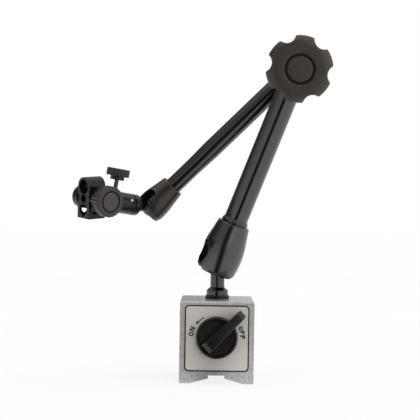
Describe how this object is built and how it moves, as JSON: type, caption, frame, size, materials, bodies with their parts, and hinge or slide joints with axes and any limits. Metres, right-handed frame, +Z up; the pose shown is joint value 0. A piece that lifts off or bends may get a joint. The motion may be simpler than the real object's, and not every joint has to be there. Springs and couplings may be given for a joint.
{
  "type": "articulated indicator stand with switchable magnetic base",
  "caption": "Switchable magnetic base with a two-link ball-jointed arm, one elbow knob that locks every joint, a fine-adjust head and a clamp for indicator stems.",
  "frame": {"origin": "centre of the base's underside, on the plane of the feet", "axes": "+X to the right across the front, +Y to the back, +Z up; the switch knob faces -Y"},
  "size_m": [0.1726, 0.0853, 0.2334],
  "materials": {
    "grey_paint": "fine hammered light grey enamel",
    "satin_plate": "satin brushed plate",
    "black_oxide": "satin black oxide",
    "black_plastic": "moulded satin black plastic",
    "switch_plastic": "moulded black plastic",
    "cap_plastic": "smooth dark grey plastic",
    "bright_steel": "ground bright steel",
    "dark_steel": "blackened steel",
    "brass": "turned brass",
    "magnet": "sintered magnet"
  },
  "bodies": {
    "base": {"base_left_pole": "grey_paint", "base_right_pole": "grey_paint", "top_separator": "grey_paint", "bottom_separator": "grey_paint", "name_plate": "satin_plate", "back_cover": "satin_plate", "back_cover_screws": "dark_steel", "spindle_bush": "brass", "stop_pin": "bright_steel", "post_washer": "black_oxide"},
    "switch": {"magnet_rotor": "magnet", "rotor_spindle": "brass", "switch_knob": "switch_plastic", "switch_knob_pin": "bright_steel"},
    "lower_stud": {"lower_ball_stud": "black_oxide"},
    "lower_shoe": {"lower_ball_shoe": "dark_steel"},
    "lower_arm": {"lower_socket": "black_oxide", "lower_lock_ring": "black_oxide", "lower_tube": "black_oxide", "lower_elbow_head": "black_oxide", "friction_washer": "brass", "front_spring": "bright_steel"},
    "lower_rod": {"lower_push_rod": "bright_steel"},
    "front_cone": {"front_cone": "bright_steel"},
    "elbow_knob": {"elbow_knob": "black_plastic", "elbow_knob_insert": "brass", "elbow_knob_cap": "cap_plastic"},
    "upper_arm": {"upper_elbow_head": "black_oxide", "upper_tube": "black_oxide", "upper_socket": "black_oxide", "rear_spring": "bright_steel"},
    "rear_cone": {"rear_cone": "bright_steel", "elbow_bolt": "dark_steel"},
    "upper_rod": {"upper_push_rod": "bright_steel", "upper_ball_shoe": "dark_steel"},
    "head_stud": {"head_ball_stud": "black_oxide"},
    "hinge_block": {"hinge_block": "black_oxide", "hinge_pin": "bright_steel"},
    "fine_body": {"fine_body": "black_oxide", "clamp_bolt": "dark_steel", "fine_spring": "bright_steel"},
    "thumb_pad": {"thumb_pad": "brass"},
    "thumb_screw": {"thumb_screw": "dark_steel", "thumb_screw_head": "black_plastic"},
    "stem_clamp": {"stem_clamp": "black_oxide"},
    "clamp_washer": {"clamp_washer": "bright_steel"},
    "clamp_knob": {"clamp_knob": "black_plastic", "clamp_knob_insert": "brass", "clamp_knob_cap": "cap_plastic"}
  },
  "joints": [
    {"name": "switch_turn", "type": "hinge", "parent": "base", "child": "switch", "pos_m": [0, 0, 0.0312], "axis": [0, -1, 0], "range_deg": [0, 90]},
    {"name": "lower_swivel", "type": "hinge", "parent": "base", "child": "lower_stud", "pos_m": [0, 0, 0.0788], "axis": [0, 0, 1], "continuous": true},
    {"name": "lower_tilt", "type": "hinge", "parent": "lower_stud", "child": "lower_shoe", "pos_m": [0, 0, 0.0788], "axis": [0.3026, 0.9531, 0], "range_deg": [-47.59, 3.41]},
    {"name": "lower_spin", "type": "hinge", "parent": "lower_shoe", "child": "lower_arm", "pos_m": [0, 0, 0.0788], "axis": [0.3584, -0.1138, 0.9266], "continuous": true},
    {"name": "lower_rod_slide", "type": "slide", "parent": "lower_arm", "child": "lower_rod", "axis": [0.3584, -0.1138, 0.9266], "range_m": [0, 0.00036184]},
    {"name": "front_cone_slide", "type": "slide", "parent": "lower_arm", "child": "front_cone", "axis": [0, -0.9925, -0.1219], "range_m": [0, 0.000626]},
    {"name": "elbow_knob_turn", "type": "hinge", "parent": "front_cone", "child": "elbow_knob", "pos_m": [0.05196, -0.0165, 0.21316], "axis": [0, -0.9925, -0.1219], "range_deg": [0, 360]},
    {"name": "elbow_swing", "type": "hinge", "parent": "lower_arm", "child": "upper_arm", "pos_m": [0.05196, -0.0165, 0.21316], "axis": [0, 0.9925, 0.1219], "range_deg": [-12, 230]},
    {"name": "rear_cone_slide", "type": "slide", "parent": "upper_arm", "child": "rear_cone", "axis": [0, 0.9925, 0.1219], "range_m": [0, 0.000626]},
    {"name": "upper_rod_slide", "type": "slide", "parent": "upper_arm", "child": "upper_rod", "axis": [0.7108, -0.0857, 0.6982], "range_m": [0, 0.00036184]},
    {"name": "head_tilt", "type": "hinge", "parent": "upper_arm", "child": "head_stud", "pos_m": [-0.04755, 0.01039, 0.11725], "axis": [0.5008, -0.6352, -0.5879], "range_deg": [-20.3, 92.7]},
    {"name": "head_swivel", "type": "hinge", "parent": "head_stud", "child": "hinge_block", "pos_m": [-0.04755, 0.01039, 0.11725], "axis": [-0.7267, -0.6776, 0.1131], "continuous": true},
    {"name": "fine_tilt", "type": "hinge", "parent": "hinge_block", "child": "fine_body", "pos_m": [-0.06377, -0.00523, 0.12281], "axis": [-0.6669, 0.7353, 0.1207], "range_deg": [-2.6, 2.6], "deforming": ["fine_spring"]},
    {"name": "thumb_pad_slide", "type": "slide", "parent": "fine_body", "child": "thumb_pad", "axis": [-0.165, 0.0123, -0.9862], "range_m": [-0.0005, 0.0005]},
    {"name": "thumb_turn", "type": "hinge", "parent": "thumb_pad", "child": "thumb_screw", "pos_m": [-0.07226, -0.01265, 0.12109], "axis": [-0.165, 0.0123, -0.9862], "range_deg": [-340, 340]},
    {"name": "clamp_swivel", "type": "hinge", "parent": "fine_body", "child": "stem_clamp", "pos_m": [-0.08861, -0.02789, 0.12364], "axis": [0.6669, -0.7353, -0.1207], "continuous": true},
    {"name": "clamp_washer_slide", "type": "slide", "parent": "fine_body", "child": "clamp_washer", "axis": [0.6669, -0.7353, -0.1207], "range_m": [0, 0.000801]},
    {"name": "clamp_knob_turn", "type": "hinge", "parent": "clamp_washer", "child": "clamp_knob", "pos_m": [-0.08861, -0.02789, 0.12364], "axis": [0.6669, -0.7353, -0.1207], "range_deg": [0, 360]}
  ],
  "couplings": [
    {"joint": "front_cone_slide", "follows": "elbow_knob_turn", "m_per_rad": 0.000099472},
    {"joint": "rear_cone_slide", "follows": "elbow_knob_turn", "m_per_rad": 0.000099472},
    {"joint": "lower_rod_slide", "follows": "elbow_knob_turn", "m_per_rad": 0.00005743},
    {"joint": "upper_rod_slide", "follows": "elbow_knob_turn", "m_per_rad": 0.00005743},
    {"joint": "thumb_pad_slide", "follows": "thumb_turn", "m_per_rad": 0.000079577},
    {"joint": "fine_tilt", "follows": "thumb_turn", "ratio": 0.0072343},
    {"joint": "clamp_washer_slide", "follows": "clamp_knob_turn", "m_per_rad": 0.00012732}
  ]
}
